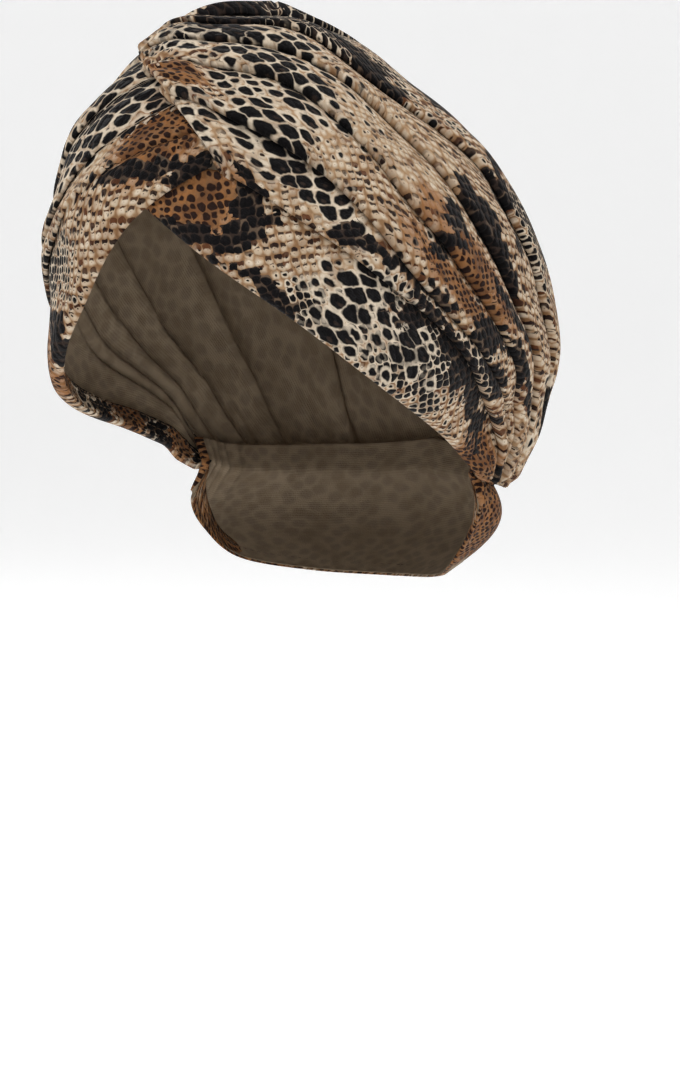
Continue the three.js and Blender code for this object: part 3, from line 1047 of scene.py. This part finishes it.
def makeNapeBand():
    grid, clothU, clothV, across, along = napeCloth()
    fields = printFields(napePrint, across, along, clothU, clothV)
    doubled = np.abs(along[0, 1:] - 0.5) > napeLook["doubledFrom"]
    piece = sheetMesh("nape_band_jersey", grid, clothU, clothV, fields, False, doubled)
    finishCloth(piece, "nape_band")
    return grid


leftGrid = makeWrap("left_wrap")
rightGrid = makeWrap("right_wrap")
napeGrid = makeNapeBand()

stitchLook = {
    "Pitch": 2.6 * millimetre,
    "Length": 2.1 * millimetre,
    "Thickness": 0.4 * millimetre,
}


# Geometry Nodes: stitches of one length along every path of the piece
def stitchTree():
    tree = bpy.data.node_groups.new("stitchRows", "GeometryNodeTree")
    tree.interface.new_socket("Paths", in_out="INPUT", socket_type="NodeSocketGeometry")
    sockets = {}
    for name, size in stitchLook.items():
        socket = tree.interface.new_socket(name, in_out="INPUT", socket_type="NodeSocketFloat")
        socket.default_value = size
        sockets[name] = socket.identifier
    tree.interface.new_socket("Stitches", in_out="OUTPUT", socket_type="NodeSocketGeometry")
    given = addNode(tree, "NodeGroupInput")
    path = addNode(tree, "GeometryNodeMeshToCurve", {"Mesh": given.outputs["Paths"]})
    spaced = addNode(tree, "GeometryNodeResampleCurve", {
        "Curve": path.outputs[0], "Length": given.outputs["Pitch"],
    }, mode="LENGTH")
    tangent = addNode(tree, "GeometryNodeInputTangent")
    turned = addNode(tree, "FunctionNodeAlignRotationToVector", {"Vector": tangent.outputs[0]}, axis="Z")
    size = addNode(tree, "ShaderNodeCombineXYZ", {
        "X": given.outputs["Thickness"], "Y": given.outputs["Thickness"], "Z": given.outputs["Length"],
    })
    grain = addNode(tree, "GeometryNodeMeshUVSphere", {"Segments": 6, "Rings": 5, "Radius": 0.5})
    smooth = addNode(tree, "GeometryNodeSetShadeSmooth", {"Geometry": grain.outputs["Mesh"]})
    placed = addNode(tree, "GeometryNodeInstanceOnPoints", {
        "Points": spaced.outputs[0], "Instance": smooth.outputs[0],
        "Rotation": turned.outputs[0], "Scale": size.outputs[0],
    })
    plain = addNode(tree, "GeometryNodeRealizeInstances", {"Geometry": placed.outputs[0]})
    coloured = addNode(tree, "GeometryNodeSetMaterial", {"Geometry": plain.outputs[0], "Material": thread})
    addNode(tree, "NodeGroupOutput", {"Stitches": coloured.outputs[0]})
    return tree, sockets


stitchGroup, stitchSockets = stitchTree()


# Paths in millimetres to one mesh of stitches
def sewRows(name, paths):
    points = [tuple(point) for path in paths for point in path * millimetre]
    edges = []
    start = 0
    for path in paths:
        edges += [(start + step, start + step + 1) for step in range(len(path) - 1)]
        start += len(path)
    lines = bpy.data.meshes.new(name)
    lines.from_pydata(points, edges, [])
    piece = addObject(name, lines)
    sewn = piece.modifiers.new("stitches", "NODES")
    sewn.node_group = stitchGroup
    for size, identifier in stitchSockets.items():
        sewn[identifier] = stitchLook[size]
    finished = piece.evaluated_get(bpy.context.evaluated_depsgraph_get())
    piece.data = bpy.data.meshes.new_from_object(finished)
    piece.modifiers.remove(sewn)
    piece.data.name = name
    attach(piece, "root")
    print(name, "sewn with", len(piece.data.polygons), "faces")


# Columns left free at the ends of a seam, past the rolled edge, and up to the crown
seamEnd = 2
rollFree = len(frontRoll) + 1
lapStart = 30

# Two rows hold each turned hem down on the inside; one row runs up the crown lap
for name, grid, first in (("left", leftGrid, rollFree), ("right", rightGrid, seamEnd)):
    rows = [mix(grid[0], grid[1], 0.4), grid[2]]
    sewRows(name + "_hem_stitches", [row[first:-seamEnd] for row in rows])
sewRows("nape_hem_stitches", [row[seamEnd:-seamEnd] for row in (napeGrid[-2], napeGrid[-4])])
sewRows("crown_lap_stitches", [leftGrid[-3][lapStart:-seamEnd]])

# Studio: a pale round floor that curves up into a wall on every side
stageLook = {
    "floorDrop": 0.42,
    "radius": 4.6,
    "sweep": 1.8,
    "sweepSteps": 16,
    "height": 5.0,
    "sides": 96,
}
floorPaint = {
    "Base Color": (0.82, 0.82, 0.82, 1),
    "Roughness": 0.9,
    "Emission Color": (1, 1, 1, 1),
    "Emission Strength": 0.3,
}


def studioFloor():
    look = stageLook
    profile = [(0.0, 0.0)]
    for step in range(look["sweepSteps"] + 1):
        turn = math.pi / 2 * step / look["sweepSteps"]
        reach = look["radius"] - look["sweep"] * (1 - math.sin(turn))
        profile.append((reach, look["sweep"] * (1 - math.cos(turn))))
    profile.append((look["radius"], look["height"]))
    points = [(0.0, 0.0, -look["floorDrop"])]
    faces = []
    sides = look["sides"]
    for ring, (reach, rise) in enumerate(profile[1:]):
        for side in range(sides):
            turn = 2 * math.pi * side / sides
            points.append((reach * math.cos(turn), reach * math.sin(turn), rise - look["floorDrop"]))
            here = 1 + ring * sides + side
            following = 1 + ring * sides + (side + 1) % sides
            if ring == 0:
                faces.append((0, here, following))
            else:
                faces.append((here - sides, here, following, following - sides))
    mesh = bpy.data.meshes.new("studioFloor")
    mesh.from_pydata(points, [], faces)
    mesh.shade_smooth()
    mesh.materials.append(newMaterial("paleFloor", floorPaint)[0])
    addObject("studioFloor", mesh)


studioFloor()


# Turn that points a lamp or the camera from its place at the aim
def turnTo(place, aim):
    return (Vector(aim) - Vector(place)).to_track_quat("-Z", "Y").to_euler()


# Soft round lamps: name, place, size and power
lampRows = [
    ("keyLight", (-0.2, -1.2, 1.8), 0.4, 27),
    ("sideLight", (1.5, 0.5, 1.5), 0.5, 17),
    ("backLight", (-1.6, 1.1, 1.3), 0.6, 17),
]
lampAim = (0, 0, -0.09)

for name, place, size, power in lampRows:
    lamp = bpy.data.lights.new(name, "AREA")
    lamp.shape = "DISK"
    lamp.size = size
    lamp.energy = power
    holder = addObject(name, lamp)
    holder.location = place
    holder.rotation_euler = turnTo(place, lampAim)

world = bpy.data.worlds.new("studioAir")
world.use_nodes = True
world.node_tree.nodes["Background"].inputs["Color"].default_value = (1, 1, 1, 1)
world.node_tree.nodes["Background"].inputs["Strength"].default_value = 0.15
bpy.context.scene.world = world
bpy.context.scene.view_settings.view_transform = "Standard"

cameraLook = {
    "place": (0.7995, -1.3848, -0.0292),
    "aim": (0.0127, 0.0039, -0.1698),
    "lens": 159.3,
}
lens = bpy.data.cameras.new("camera")
lens.lens = cameraLook["lens"]
lens.sensor_width = 36
lens.clip_start = 0.05
camera = addObject("camera", lens)
camera.location = cameraLook["place"]
camera.rotation_euler = turnTo(cameraLook["place"], cameraLook["aim"])
bpy.context.scene.camera = camera
print("studio set")
